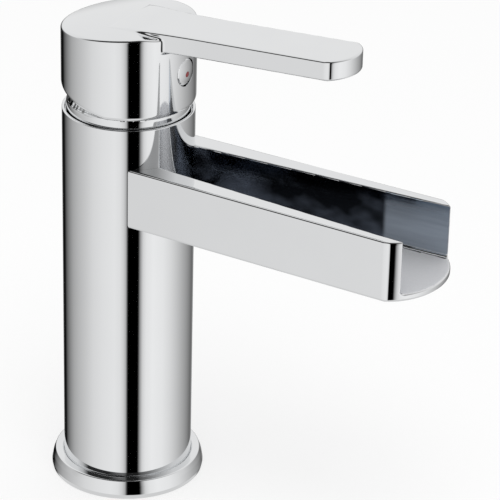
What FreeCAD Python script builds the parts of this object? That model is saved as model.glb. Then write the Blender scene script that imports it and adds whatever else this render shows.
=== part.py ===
import FreeCAD, Part
import math
import os

# A single-lever basin faucet with an open channel spout, in millimetres.
# It stands on z = 0 with its body's axis on Z. The spout and the lever point
# along -Y, and +X is the user's right. The lever is drawn closed and centred.

V = FreeCAD.Vector

# Clearances
SEAT_GAP = 0.03           # between fixed pieces that are brazed, pressed or clamped
RUNNING_GAP = 0.05        # radial, between pieces that turn or slide on each other
PAST = 2.0                # how far a cutting shape runs past the face that it opens

# Body
BODY_RADIUS = 23.0
BODY_BORE = 20.4
BODY_TOP = 141.3
RIM_BORE = 22.0           # the thin rim round the foot of the dome
RIM_FLOOR = 136.5

# Foot ring and its gasket
FLANGE_RADIUS = 27.4
FLANGE_WIDEST_Z = 1.8
FLANGE_TOP = 6.8
FLANGE_SHOULDER = 26.2
GASKET_INNER = 24.3
GASKET_OUTER = 26.0
GASKET_HEIGHT = 1.2

# Inlets: two M10 x 1 hose threads and one M8 stud, drawn at their tapping drill
PORT_X = 7.0
PORT_Y = -4.0
INLET_RADIUS = 4.5
INLET_DEPTH = 9.0
STUD_HOLE_RADIUS = 3.4
STUD_HOLE_DEPTH = 12.0
STUD_Y = 11.0
FOOT_HEIGHT = 15.0
RISER_RADIUS = 5.0
RISER_BORE = 3.75
RISER_SOCKET = 5.0        # how deep each end of a riser sits
PORT_BORE = 2.8

# Seat block
SEAT_BOTTOM = 92.0
CHAMBER_RADIUS = 17.6
CHAMBER_FLOOR = 112.0
NUT_BORE = 18.95
NUT_SEAT = 130.0
DUCT_HALF_WIDTH = 3.2
DUCT_FLOOR = 104.0
DUCT_FRONT = -15.0
SLOT_BACK = -12.0

# Outlet nozzle: a flat sleeve in the body wall
NOZZLE_HALF_WIDTH = 9.0
NOZZLE_FLOOR = 108.3
NOZZLE_ROOF = 111.8
NOZZLE_WALL = 0.5
NOZZLE_BACK = -14.5

# Spout channel
SPOUT_BOTTOM = 105.3
SPOUT_TOP = 126.9
SPOUT_ROOT_Y = -5.0
SPOUT_HALF_WIDTH = 19.3   # outside, at y = 0
SPOUT_FLARE = 0.0061      # outside half-width gained per mm along the spout
CHANNEL_HALF_WIDTH = 10.0
CHANNEL_FLARE = 0.056
CHANNEL_FLOOR = 107.8
TIP_ARC_RADIUS = 24.0
TIP_APEX_Y = -123.0
SPOUT_CORNER_RADIUS = 3.5
SPOUT_EDGE_RADIUS = 0.8
CHANNEL_CORNER_RADIUS = 1.2

# Cartridge
CARTRIDGE_RADIUS = 17.4
BASE_TOP = 116.0
SEAL_INNER = 2.9
SEAL_OUTER = 3.8
SEAL_HEIGHT = 1.2
HOUSING_BORE = 16.0
HOUSING_STEP_Z = 129.0
FLANGE_POCKET = 13.3
NECK_BOTTOM = 130.8       # inside; the rotor's flange is caught under it
SHOULDER_Z = 132.0
NECK_BORE = 12.0
NECK_RADIUS = 13.9
NECK_TOP = 147.0
FIXED_DISC_RADIUS = 15.9
FIXED_DISC_TOP = 119.0
DISC_PORT_RADIUS = 2.2
DISC_OUTLET_RADIUS = 2.8
MOVING_DISC_RADIUS = 11.8
MOVING_DISC_TOP = 122.5
DISC_OFFSET_Y = 1.5       # the disc's centre behind the axis when closed
DISC_TRAVEL = 5.4
HOLLOW_RADIUS = 5.3       # the mixing hollow under the moving disc
HOLLOW_TAIL_RADIUS = 3.4
HOLLOW_DEPTH = 2.0
CARRIER_RADIUS = 10.5
CARRIER_TOP = 128.6
PEG_RADIUS = 1.2
PEG_X = 9.2
PEG_LENGTH = 1.3
TONGUE_HALF_WIDTH = 4.6
TONGUE_FRONT = -4.0
TONGUE_BACK = 4.4
TONGUE_TOP = 131.0
SOCKET_RADIUS = 3.3
SOCKET_FLOOR = 124.0

# Rotor, pin and spindle
PIVOT_Z = 143.0
ROTOR_FLANGE_RADIUS = 13.0
ROTOR_BOTTOM = 129.3
ROTOR_FLANGE_TOP = 130.5
ROTOR_TOP = 147.8
SLOT_HALF_WIDTH = 4.7
SLOT_FRONT = -8.0
SLOT_REAR = 7.0
POCKET_FRONT = -9.8
POCKET_TOP = 132.0
PIN_RADIUS = 2.0
PIN_HALF_LENGTH = 11.5
SPINDLE_SIDE = 8.0
SPINDLE_BOTTOM = 139.0
SPINDLE_TOP = 166.0
SHANK_RADIUS = 1.9
BALL_RADIUS = 3.0
BALL_Z = 127.5

# Ring nut, dome and its O-ring
NUT_RADIUS = 18.9
NUT_INNER = 14.2
NUT_COLLAR_TOP = 138.8
NUT_HEX_FLATS = 34.0
NUT_TOP = 141.0
DOME_SKIRT = 21.5
DOME_SKIRT_TOP = 142.5
DOME_SHOULDER = 20.3
DOME_SHOULDER_Z = 146.6
DOME_OPENING = 14.6
DOME_TOP = 150.6
DOME_WALL = 1.2
RING_Z = 137.8

# Handle: hub and lever
HUB_RADIUS = 23.2
HUB_CAVITY = 21.2
HUB_ROOF = 165.0
HUB_BOTTOM = 144.8
HUB_RISE_Y = -5.0         # behind this line the hub's lower edge climbs
HUB_RISE = 0.21
HUB_EDGE = 1.4
CROWN_TOP = 174.75        # the hub's top is crowned along the lever, and a little across it
CROWN_TOP_Y = -8.0
CROWN_RADIUS_ALONG = 84.0
CROWN_RADIUS_ACROSS = 350.0
LEVER_Z = 174.15          # the lever's top plane, at the axis
LEVER_SLOPE = 0.065
LEVER_HALF_WIDTH = 10.55
ROOT_HALF_WIDTH = 12.6    # the lever widens in an arc towards the hub
FLARE_START_Y = -34.0
FLARE_END_Y = -18.0
LEVER_THICKNESS = 6.85
LEVER_TIP_Y = -88.5
LEVER_TIP_ARC = 12.8
LEVER_EDGE_RADIUS = 0.8
BOSS_RADIUS = 8.0
BOSS_BOTTOM = 153.0
SOCKET_SIDE = 8.2
SOCKET_ROOF = 166.3
SCREW_Z = 158.7
SCREW_HOLE_RADIUS = 2.5
SCREW_RADIUS = 2.45
SCREW_INNER_Y = -4.15
SCREW_OUTER_Y = -14.0
SCREW_HEX_FLATS = 2.5
SCREW_HEX_DEPTH = 3.0
ACCESS_RADIUS = 3.0
ACCESS_Y = -14.2
NOSE_RADIUS = 6.6         # the pad behind the hub's wall that holds screw and plug
PLUG_POCKET_RADIUS = 5.2
PLUG_POCKET_Y = -20.6
PLUG_RADIUS = 4.7
PLUG_FACE_Y = -23.6
PLUG_BEVEL = 0.6
PLUG_STEM_Y = -17.5
DOT_RADIUS = 1.0
DOT_DEPTH = 0.5
DOT_Z = 158.0


def cylinder(radius, z_low, z_high, x=0.0, y=0.0):
    """An upright cylinder."""
    return Part.makeCylinder(radius, z_high - z_low, V(x, y, z_low))


def ring(outer, inner, z_low, z_high, x=0.0, y=0.0):
    """An upright tube."""
    hole = cylinder(inner, z_low - PAST, z_high + PAST, x, y)
    return cylinder(outer, z_low, z_high, x, y).cut(hole)


def cylinder_y(radius, y_front, y_back, z):
    """A cylinder along Y, over the axis."""
    return Part.makeCylinder(radius, y_back - y_front, V(0, y_front, z), V(0, 1, 0))


def box(half_width, y_front, y_back, z_low, z_high):
    """A box centred on x = 0."""
    size = (2 * half_width, y_back - y_front, z_high - z_low)
    return Part.makeBox(*size, V(-half_width, y_front, z_low))


def hexagon(flats, height, base, direction=V(0, 0, 1)):
    """A hexagonal prism, by its size across flats."""
    radius = flats / math.sqrt(3)
    angles = [math.radians(60 * k) for k in range(7)]
    corners = [V(radius * math.cos(a), radius * math.sin(a), 0) for a in angles]
    prism = Part.Face(Part.makePolygon(corners)).extrude(V(0, 0, height))
    prism.rotate(V(0, 0, 0), V(1, 0, 0), math.degrees(direction.getAngle(V(0, 0, 1))))
    prism.translate(base)
    return prism


def outline(start, steps, place):
    """A closed wire. A step (a, b) is a line, and a step (mid, end) is an arc."""
    edges = []
    here = place(*start)
    for step in steps:
        if isinstance(step[0], tuple):
            middle, end = place(*step[0]), place(*step[1])
            edges.append(Part.Arc(here, middle, end).toShape())
        else:
            end = place(*step)
            edges.append(Part.LineSegment(here, end).toShape())
        here = end
    if here.distanceToPoint(place(*start)) > 1e-6:
        edges.append(Part.LineSegment(here, place(*start)).toShape())
    return Part.Wire(edges)


def lathe(start, steps):
    """A solid turned about Z from a half section of (radius, height) points."""
    section = Part.Face(outline(start, steps, lambda r, z: V(r, 0, z)))
    return section.revolve(V(0, 0, 0), V(0, 0, 1), 360)


def upright_prism(start, steps, z_low, z_high):
    """A prism along Z from a plan outline of (x, y) points."""
    plan = Part.Face(outline(start, steps, lambda x, y: V(x, y, z_low)))
    return plan.extrude(V(0, 0, z_high - z_low))


def side_prism(points, half_width):
    """A prism along X from a side outline of (y, z) points."""
    corners = [V(-half_width, y, z) for y, z in points + points[:1]]
    return Part.Face(Part.makePolygon(corners)).extrude(V(2 * half_width, 0, 0))


def rounded(shape, radius, wanted):
    """The shape with a fillet on each edge whose middle passes the test."""
    edges = []
    for edge in shape.Edges:
        middle = edge.valueAt((edge.FirstParameter + edge.LastParameter) / 2)
        if wanted(edge, middle):
            edges.append(edge)
    return shape.makeFillet(radius, edges)


def is_upright(edge):
    ends = [vertex.Point for vertex in edge.Vertexes]
    return len(ends) == 2 and math.hypot(ends[0].x - ends[1].x, ends[0].y - ends[1].y) < 1e-3


def at_ports(shape_at):
    """The same shape at the two feed ports."""
    return [shape_at(side * PORT_X, PORT_Y) for side in (-1, 1)]


# ---------------------------------------------------------------- body and foot

def body_shell():
    shell = ring(BODY_RADIUS, BODY_BORE, 0, BODY_TOP)
    shell = shell.cut(cylinder(RIM_BORE, RIM_FLOOR, BODY_TOP + PAST))
    window = box(NOZZLE_HALF_WIDTH, -BODY_RADIUS - PAST, 0, NOZZLE_FLOOR, NOZZLE_ROOF)
    return shell.cut(window)


def base_flange():
    bore = BODY_RADIUS + SEAT_GAP
    ring_body = lathe((bore, 0), [
        (FLANGE_RADIUS - 0.7, 0),
        ((FLANGE_RADIUS - 0.2, 0.6), (FLANGE_RADIUS, FLANGE_WIDEST_Z)),
        ((FLANGE_RADIUS - 0.25, 4.4), (FLANGE_SHOULDER, FLANGE_TOP - 0.3)),
        (FLANGE_SHOULDER - 0.3, FLANGE_TOP),
        (bore + 0.5, FLANGE_TOP),
        (bore, FLANGE_TOP - 0.5),
    ])
    groove = ring(GASKET_OUTER + SEAT_GAP, GASKET_INNER - SEAT_GAP, -PAST, GASKET_HEIGHT + SEAT_GAP)
    return ring_body.cut(groove)


def base_gasket():
    return ring(GASKET_OUTER, GASKET_INNER, 0, GASKET_HEIGHT)


def foot_block():
    block = cylinder(BODY_BORE - SEAT_GAP, 0, FOOT_HEIGHT)
    cuts = at_ports(lambda x, y: cylinder(INLET_RADIUS, -PAST, INLET_DEPTH, x, y))
    cuts += at_ports(lambda x, y: cylinder(PORT_BORE, 0, FOOT_HEIGHT, x, y))
    socket_floor = FOOT_HEIGHT - RISER_SOCKET
    cuts += at_ports(lambda x, y: cylinder(RISER_RADIUS + SEAT_GAP, socket_floor, FOOT_HEIGHT + PAST, x, y))
    cuts.append(cylinder(STUD_HOLE_RADIUS, -PAST, STUD_HOLE_DEPTH, 0, STUD_Y))
    return block.cut(cuts)


def riser(side):
    low = FOOT_HEIGHT - RISER_SOCKET + SEAT_GAP
    high = SEAT_BOTTOM + RISER_SOCKET - SEAT_GAP
    return ring(RISER_RADIUS, RISER_BORE, low, high, side * PORT_X, PORT_Y)


# ---------------------------------------------------------------- valve seat and spout

def seat_block():
    block = cylinder(BODY_BORE - SEAT_GAP, SEAT_BOTTOM, RIM_FLOOR)
    cuts = [cylinder(CHAMBER_RADIUS, CHAMBER_FLOOR, RIM_FLOOR + PAST)]
    cuts.append(cylinder(NUT_BORE, NUT_SEAT, RIM_FLOOR + PAST))
    socket_roof = SEAT_BOTTOM + RISER_SOCKET
    cuts += at_ports(lambda x, y: cylinder(RISER_RADIUS + SEAT_GAP, SEAT_BOTTOM - PAST, socket_roof, x, y))
    cuts += at_ports(lambda x, y: cylinder(PORT_BORE, SEAT_BOTTOM, CHAMBER_FLOOR + PAST, x, y))
    # The outlet drops from the middle of the seat, runs forward between the feeds
    # and widens into the slot that holds the nozzle.
    cuts.append(cylinder(PORT_BORE, DUCT_FLOOR, CHAMBER_FLOOR + PAST))
    cuts.append(box(DUCT_HALF_WIDTH, DUCT_FRONT, 0, DUCT_FLOOR, NOZZLE_FLOOR + 2 * NOZZLE_WALL))
    cuts.append(box(NOZZLE_HALF_WIDTH, -BODY_RADIUS, SLOT_BACK, NOZZLE_FLOOR, NOZZLE_ROOF - NOZZLE_WALL))
    return block.cut(cuts)


def outlet_nozzle():
    inset = NOZZLE_HALF_WIDTH - SEAT_GAP
    roof = NOZZLE_ROOF - NOZZLE_WALL - SEAT_GAP
    floor = NOZZLE_FLOOR + SEAT_GAP
    sleeve = box(inset, -BODY_RADIUS - PAST, NOZZLE_BACK, floor, roof)
    bore = box(inset - NOZZLE_WALL, -BODY_RADIUS - 2 * PAST, 0, floor + NOZZLE_WALL, roof - NOZZLE_WALL)
    # Its front end is dressed flush with the body's round face.
    return sleeve.cut(bore).common(cylinder(BODY_RADIUS, floor - PAST, roof + PAST))


def tip_arc(half_width):
    """Where the tip's plan arc crosses a given half-width."""
    centre = TIP_APEX_Y + TIP_ARC_RADIUS
    return centre - math.sqrt(TIP_ARC_RADIUS ** 2 - half_width ** 2)


def spout_half_width(y):
    return SPOUT_HALF_WIDTH - SPOUT_FLARE * y


def channel_half_width(y):
    return CHANNEL_HALF_WIDTH - CHANNEL_FLARE * y


def spout_trough():
    root = spout_half_width(SPOUT_ROOT_Y)
    corner_y = tip_arc(spout_half_width(TIP_APEX_Y))
    corner = spout_half_width(corner_y)
    corner_y = tip_arc(corner)
    trough = upright_prism((root, SPOUT_ROOT_Y), [
        (corner, corner_y),
        ((0, TIP_APEX_Y), (-corner, corner_y)),
        (-root, SPOUT_ROOT_Y),
    ], SPOUT_BOTTOM, SPOUT_TOP)
    trough = rounded(trough, SPOUT_CORNER_RADIUS, lambda edge, mid: is_upright(edge) and mid.y < corner_y + 1)

    past_y = TIP_APEX_Y - PAST
    past, inner_root = channel_half_width(past_y), channel_half_width(SPOUT_ROOT_Y)
    channel = upright_prism((inner_root, SPOUT_ROOT_Y), [
        (past, past_y), (-past, past_y), (-inner_root, SPOUT_ROOT_Y),
    ], CHANNEL_FLOOR, SPOUT_TOP + PAST)

    def runs_along_floor(edge, mid):
        return abs(mid.z - CHANNEL_FLOOR) < 1e-3 and TIP_APEX_Y < mid.y < SPOUT_ROOT_Y - 1
    channel = rounded(channel, CHANNEL_CORNER_RADIUS, runs_along_floor)
    trough = trough.cut(channel)

    def is_outer_edge(edge, mid):
        level = abs(mid.z - SPOUT_TOP) < 1e-3 or abs(mid.z - SPOUT_BOTTOM) < 1e-3
        lip = abs(mid.z - CHANNEL_FLOOR) < 1e-3 and mid.y < TIP_APEX_Y + 1
        return lip or level and mid.y < SPOUT_ROOT_Y - 1
    trough = rounded(trough, SPOUT_EDGE_RADIUS, is_outer_edge)
    return trough.cut(cylinder(BODY_RADIUS + SEAT_GAP, SPOUT_BOTTOM - PAST, SPOUT_TOP + PAST))


# ---------------------------------------------------------------- cartridge, fixed parts

def cartridge_base():
    plate = cylinder(CARTRIDGE_RADIUS - 0.1, CHAMBER_FLOOR + SEAT_GAP, BASE_TOP)
    low, high = CHAMBER_FLOOR, BASE_TOP + PAST
    cuts = at_ports(lambda x, y: cylinder(PORT_BORE, low, high, x, y))
    cuts.append(cylinder(PORT_BORE, low, high))
    groove_top = CHAMBER_FLOOR + SEAT_GAP + SEAL_HEIGHT
    outer = SEAL_OUTER + SEAT_GAP
    cuts += at_ports(lambda x, y: cylinder(outer, low, groove_top, x, y))
    cuts.append(cylinder(outer, low, groove_top))
    return plate.cut(cuts)


def cartridge_seals():
    low = CHAMBER_FLOOR + SEAT_GAP
    high = low + SEAL_HEIGHT - SEAT_GAP
    seals = at_ports(lambda x, y: ring(SEAL_OUTER, SEAL_INNER, low, high, x, y))
    seals.append(ring(SEAL_OUTER, SEAL_INNER, low, high))
    return Part.makeCompound(seals)


def cartridge_housing():
    housing = cylinder(CARTRIDGE_RADIUS, BASE_TOP + SEAT_GAP, SHOULDER_Z)
    housing = housing.fuse(cylinder(NECK_RADIUS, SHOULDER_Z - PAST, NECK_TOP))
    return housing.cut([
        cylinder(HOUSING_BORE, BASE_TOP - PAST, HOUSING_STEP_Z),
        cylinder(FLANGE_POCKET, HOUSING_STEP_Z - PAST, NECK_BOTTOM),
        cylinder(NECK_BORE, HOUSING_STEP_Z, NECK_TOP + PAST),
    ])


def fixed_disc():
    disc = cylinder(FIXED_DISC_RADIUS, BASE_TOP + SEAT_GAP, FIXED_DISC_TOP)
    cuts = at_ports(lambda x, y: cylinder(DISC_PORT_RADIUS, BASE_TOP, FIXED_DISC_TOP + PAST, x, y))
    cuts.append(cylinder(DISC_OUTLET_RADIUS, BASE_TOP, FIXED_DISC_TOP + PAST))
    return disc.cut(cuts)


def cartridge_nut():
    nut = cylinder(NUT_RADIUS, SHOULDER_Z + SEAT_GAP, NUT_COLLAR_TOP)
    nut = nut.fuse(hexagon(NUT_HEX_FLATS, NUT_TOP - NUT_COLLAR_TOP, V(0, 0, NUT_COLLAR_TOP)))
    return nut.cut(cylinder(NUT_INNER, SHOULDER_Z - PAST, NUT_TOP + PAST))


def trim_dome():
    """The skirt stands in the body's rim, and the barrel closes in over the nut."""
    skirt_bottom = RIM_FLOOR + SEAT_GAP
    inner = DOME_SKIRT - DOME_WALL
    return lathe((DOME_SKIRT, skirt_bottom), [
        (DOME_SKIRT, DOME_SKIRT_TOP),
        ((20.93, 144.75), (DOME_SHOULDER, DOME_SHOULDER_Z)),
        ((18.3, 149.4), (DOME_OPENING, DOME_TOP)),
        (DOME_OPENING, DOME_TOP - DOME_WALL),
        ((17.4, 148.4), (DOME_SHOULDER - DOME_WALL, DOME_SHOULDER_Z - 0.4)),
        ((19.75, 144.4), (inner, DOME_SKIRT_TOP)),
        (inner, skirt_bottom),
    ])


def dome_ring():
    thickness = DOME_SKIRT - DOME_WALL - NUT_RADIUS
    middle = NUT_RADIUS + thickness / 2
    return Part.makeTorus(middle, thickness / 2 - SEAT_GAP, V(0, 0, RING_Z), V(0, 0, 1))


# ---------------------------------------------------------------- cartridge, moving parts

def moving_disc():
    low = FIXED_DISC_TOP + RUNNING_GAP
    disc = cylinder(MOVING_DISC_RADIUS, low, MOVING_DISC_TOP, 0, DISC_OFFSET_Y)
    # The hollow is a round over the outlet with a tail behind it, so that it still
    # reaches the outlet after the disc's travel. Closed, it misses both feeds.
    roof = low + HOLLOW_DEPTH
    cuts = [cylinder(HOLLOW_RADIUS, low - PAST, roof)]
    cuts.append(cylinder(HOLLOW_TAIL_RADIUS, low - PAST, roof, 0, DISC_TRAVEL))
    cuts.append(box(HOLLOW_TAIL_RADIUS, 0, DISC_TRAVEL, low - PAST, roof))
    for side in (-1, 1):
        peg_hole = MOVING_DISC_TOP - PEG_LENGTH - SEAT_GAP
        cuts.append(cylinder(PEG_RADIUS + SEAT_GAP, peg_hole, MOVING_DISC_TOP + PAST, side * PEG_X, DISC_OFFSET_Y))
    return disc.cut(cuts)


def disc_carrier():
    low = MOVING_DISC_TOP + SEAT_GAP
    carrier = cylinder(CARRIER_RADIUS, low, CARRIER_TOP, 0, DISC_OFFSET_Y)
    # The tongue slides in the rotor's pocket and makes the disc turn with it.
    joined = [box(TONGUE_HALF_WIDTH, TONGUE_FRONT, TONGUE_BACK, CARRIER_TOP - PAST, TONGUE_TOP)]
    for side in (-1, 1):
        joined.append(cylinder(PEG_RADIUS, low - PEG_LENGTH, low + PAST, side * PEG_X, DISC_OFFSET_Y))
    return carrier.fuse(joined).cut(cylinder(SOCKET_RADIUS, SOCKET_FLOOR, TONGUE_TOP + PAST))


def cartridge_rotor():
    rotor = cylinder(ROTOR_FLANGE_RADIUS, ROTOR_BOTTOM, ROTOR_FLANGE_TOP)
    rotor = rotor.fuse(cylinder(NECK_BORE - RUNNING_GAP, ROTOR_BOTTOM, ROTOR_TOP))
    pin_hole = Part.makeCylinder(PIN_RADIUS + SEAT_GAP, 4 * NECK_BORE, V(-2 * NECK_BORE, 0, PIVOT_Z), V(1, 0, 0))
    return rotor.cut([
        box(SLOT_HALF_WIDTH, SLOT_FRONT, SLOT_REAR, ROTOR_BOTTOM - PAST, ROTOR_TOP + PAST),
        box(SLOT_HALF_WIDTH, POCKET_FRONT, SLOT_REAR, ROTOR_BOTTOM - PAST, POCKET_TOP),
        pin_hole,
    ])


def pivot_pin():
    return Part.makeCylinder(PIN_RADIUS, 2 * PIN_HALF_LENGTH, V(-PIN_HALF_LENGTH, 0, PIVOT_Z), V(1, 0, 0))


def spindle():
    half = SPINDLE_SIDE / 2
    shaft = box(half, -half, half, SPINDLE_BOTTOM, SPINDLE_TOP)
    shaft = shaft.fuse([
        cylinder(SHANK_RADIUS, BALL_Z, SPINDLE_BOTTOM + PAST),
        Part.makeSphere(BALL_RADIUS, V(0, 0, BALL_Z)),
    ])
    pin_hole = Part.makeCylinder(PIN_RADIUS + RUNNING_GAP, 2 * SPINDLE_SIDE, V(-SPINDLE_SIDE, 0, PIVOT_Z), V(1, 0, 0))
    return shaft.cut(pin_hole)


# ---------------------------------------------------------------- handle

def lever_top(y):
    return LEVER_Z - LEVER_SLOPE * y


def hub_blank():
    """The round hub, crowned on top, with its lower edge climbing at the back."""
    blank = cylinder(HUB_RADIUS, HUB_BOTTOM, LEVER_Z + HUB_RADIUS)
    blank = blank.makeChamfer(HUB_EDGE, [edge for edge in blank.Edges
                                         if abs(edge.BoundBox.ZMax - HUB_BOTTOM) < 1e-3])
    # The crown covers the blade's square back end, and sinks under its flanks further out.
    centre = V(0, CROWN_TOP_Y, CROWN_TOP - CROWN_RADIUS_ACROSS)
    ring_radius = CROWN_RADIUS_ACROSS - CROWN_RADIUS_ALONG
    blank = blank.common(Part.makeTorus(ring_radius, CROWN_RADIUS_ALONG, centre, V(0, 1, 0)))
    back = HUB_RADIUS + PAST
    rise = HUB_BOTTOM + HUB_RISE * (back - HUB_RISE_Y)
    wedge = side_prism([(HUB_RISE_Y, HUB_BOTTOM), (back, rise), (back, HUB_BOTTOM - PAST),
                        (HUB_RISE_Y, HUB_BOTTOM - PAST)], back)
    return blank.cut(wedge)


def lever_blade():
    """The flat lever, which flares in plan where it leaves the hub."""
    half, root = LEVER_HALF_WIDTH, ROOT_HALF_WIDTH
    corner_y = LEVER_TIP_Y + LEVER_TIP_ARC - math.sqrt(LEVER_TIP_ARC ** 2 - half ** 2)
    # The flare is an arc that starts along the lever's side.
    run, rise = FLARE_END_Y - FLARE_START_Y, root - half
    flare_radius = (run ** 2 + rise ** 2) / (2 * rise)
    half_turn = math.asin(run / flare_radius) / 2
    middle = (half + flare_radius * (1 - math.cos(half_turn)), FLARE_START_Y + flare_radius * math.sin(half_turn))
    plan = upright_prism((root, 0), [
        (root, FLARE_END_Y),
        (middle, (half, FLARE_START_Y)),
        (half, corner_y),
        ((0, LEVER_TIP_Y), (-half, corner_y)),
        (-half, FLARE_START_Y),
        ((-middle[0], middle[1]), (-root, FLARE_END_Y)),
        (-root, 0),
    ], HUB_ROOF, LEVER_Z + HUB_RADIUS)
    front = LEVER_TIP_Y - PAST
    slab = side_prism([(0, lever_top(0)), (front, lever_top(front)),
                       (front, lever_top(front) - LEVER_THICKNESS), (0, lever_top(0) - LEVER_THICKNESS)],
                      HUB_RADIUS)
    blade = plan.common(slab)

    def is_blade_edge(edge, mid):
        drop = lever_top(mid.y) - mid.z
        on_face = min(abs(drop), abs(drop - LEVER_THICKNESS)) < 0.02
        return mid.y < FLARE_END_Y and (on_face or is_upright(edge) and mid.y < corner_y + 1)
    return rounded(blade, LEVER_EDGE_RADIUS, is_blade_edge)


def handle():
    cavity = cylinder(HUB_CAVITY, HUB_BOTTOM - PAST, HUB_ROOF)
    hub = hub_blank().cut(cavity).fuse(lever_blade())
    boss = cylinder(BOSS_RADIUS, BOSS_BOTTOM, HUB_ROOF + PAST)
    nose = cylinder_y(NOSE_RADIUS, -HUB_CAVITY - 1, 0, SCREW_Z)
    half = SOCKET_SIDE / 2
    socket = box(half, -half, half, BOSS_BOTTOM - NOSE_RADIUS, SOCKET_ROOF)
    return hub.fuse([boss, nose]).cut([
        socket,
        cylinder_y(SCREW_HOLE_RADIUS, ACCESS_Y, 0, SCREW_Z),
        cylinder_y(ACCESS_RADIUS, PLUG_POCKET_Y - PAST, ACCESS_Y, SCREW_Z),
        cylinder_y(PLUG_POCKET_RADIUS, -HUB_RADIUS - PAST, PLUG_POCKET_Y, SCREW_Z),
    ])


def grub_screw():
    screw = cylinder_y(SCREW_RADIUS, SCREW_OUTER_Y, SCREW_INNER_Y, SCREW_Z)
    mouth = V(0, SCREW_OUTER_Y + SCREW_HEX_DEPTH, SCREW_Z)
    return screw.cut(hexagon(SCREW_HEX_FLATS, SCREW_HEX_DEPTH + PAST, mouth, V(0, -1, 0)))


def index_plug():
    head = cylinder_y(PLUG_RADIUS, PLUG_FACE_Y, PLUG_POCKET_Y - SEAT_GAP, SCREW_Z)
    face_rim = [edge for edge in head.Edges if abs(edge.BoundBox.YMax - PLUG_FACE_Y) < 1e-3]
    head = head.makeChamfer(PLUG_BEVEL, face_rim)
    stem = cylinder_y(ACCESS_RADIUS - RUNNING_GAP, PLUG_POCKET_Y - PAST, PLUG_STEM_Y, SCREW_Z)
    recess = cylinder_y(DOT_RADIUS + SEAT_GAP, PLUG_FACE_Y - PAST, PLUG_FACE_Y + DOT_DEPTH + SEAT_GAP, DOT_Z)
    return head.fuse(stem).cut(recess)


def index_dot():
    return cylinder_y(DOT_RADIUS, PLUG_FACE_Y, PLUG_FACE_Y + DOT_DEPTH, DOT_Z)


PIECES = {
    "body_shell": body_shell,
    "base_flange": base_flange,
    "base_gasket": base_gasket,
    "foot_block": foot_block,
    "riser_cold": lambda: riser(1),
    "riser_hot": lambda: riser(-1),
    "seat_block": seat_block,
    "outlet_nozzle": outlet_nozzle,
    "spout_trough": spout_trough,
    "cartridge_base": cartridge_base,
    "cartridge_seals": cartridge_seals,
    "cartridge_housing": cartridge_housing,
    "fixed_disc": fixed_disc,
    "cartridge_nut": cartridge_nut,
    "trim_dome": trim_dome,
    "dome_ring": dome_ring,
    "moving_disc": moving_disc,
    "disc_carrier": disc_carrier,
    "cartridge_rotor": cartridge_rotor,
    "pivot_pin": pivot_pin,
    "spindle": spindle,
    "handle": handle,
    "grub_screw": grub_screw,
    "index_plug": index_plug,
    "index_dot": index_dot,
}

os.makedirs("parts", exist_ok=True)
for name, make in PIECES.items():
    piece = make()
    print(f"{name}: {len(piece.Solids)} solid(s), {piece.Volume / 1000:.2f} cm3, valid {piece.isValid()}")
    piece.exportStep(f"parts/{name}.step")
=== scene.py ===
"""A chrome waterfall basin faucet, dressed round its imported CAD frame."""
import math
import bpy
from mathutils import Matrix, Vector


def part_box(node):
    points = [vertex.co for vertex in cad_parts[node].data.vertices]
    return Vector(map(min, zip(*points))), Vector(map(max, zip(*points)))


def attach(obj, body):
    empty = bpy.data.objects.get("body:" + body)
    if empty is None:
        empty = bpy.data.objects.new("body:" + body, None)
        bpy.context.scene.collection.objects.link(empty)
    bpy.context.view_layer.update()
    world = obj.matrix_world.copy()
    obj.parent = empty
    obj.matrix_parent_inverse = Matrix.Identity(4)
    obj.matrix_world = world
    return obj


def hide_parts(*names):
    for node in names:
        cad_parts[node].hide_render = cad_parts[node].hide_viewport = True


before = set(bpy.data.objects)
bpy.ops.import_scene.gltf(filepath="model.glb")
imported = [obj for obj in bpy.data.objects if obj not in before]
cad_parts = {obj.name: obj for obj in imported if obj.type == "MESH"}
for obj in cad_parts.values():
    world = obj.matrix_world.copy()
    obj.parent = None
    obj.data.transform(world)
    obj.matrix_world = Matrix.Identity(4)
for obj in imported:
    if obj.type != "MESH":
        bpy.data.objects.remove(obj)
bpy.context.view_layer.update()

from types import SimpleNamespace

import bmesh
import bpy
import numpy as np
from bpy.props import FloatProperty, FloatVectorProperty, IntProperty, PointerProperty
from mathutils import Matrix, Vector

bl_info = {
    "name": "Waterfall Basin Faucet",
    "version": (1, 0, 0),
    "blender": (4, 5, 0),
    "location": "View3D > Sidebar > Faucet",
    "description": "Builds the plated pieces of a waterfall basin faucet round its CAD frame",
    "category": "Add Mesh",
}

MM = 0.001


def cad_corners(node):
    """The lowest and highest corner of a CAD node, in millimetres."""
    low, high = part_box(node)
    return low / MM, high / MM


BODY_HIGH = cad_corners("body_shell")[1]
FLANGE_HIGH = cad_corners("base_flange")[1]
SPOUT_LOW, SPOUT_HIGH = cad_corners("spout_trough")
DOME_LOW, DOME_HIGH = cad_corners("trim_dome")
HANDLE_LOW, HANDLE_HIGH = cad_corners("handle")
PLUG_LOW, PLUG_HIGH = cad_corners("index_plug")
DOT_LOW, DOT_HIGH = cad_corners("index_dot")
NOZZLE_LOW, NOZZLE_HIGH = cad_corners("outlet_nozzle")


def linear(hex_colour):
    """Linear red, green and blue of an sRGB colour written as #RRGGBB."""
    parts = [int(hex_colour[k:k + 2], 16) / 255 for k in (1, 3, 5)]
    return tuple(c / 12.92 if c <= 0.04045 else ((c + 0.055) / 1.055) ** 2.4 for c in parts)


# ---------------------------------------------------------------- settings

def length(name, description, millimetres):
    return FloatProperty(name=name, description=description, default=millimetres * MM, min=0.0,
                         precision=5, unit="LENGTH")


def ratio(name, description, value, highest=0.5):
    return FloatProperty(name=name, description=description, default=value, min=0.0, max=highest)


def colour(name, description, hex_colour):
    return FloatVectorProperty(name=name, description=description, default=linear(hex_colour), size=3,
                               min=0.0, max=1.0, subtype="COLOR")


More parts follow.
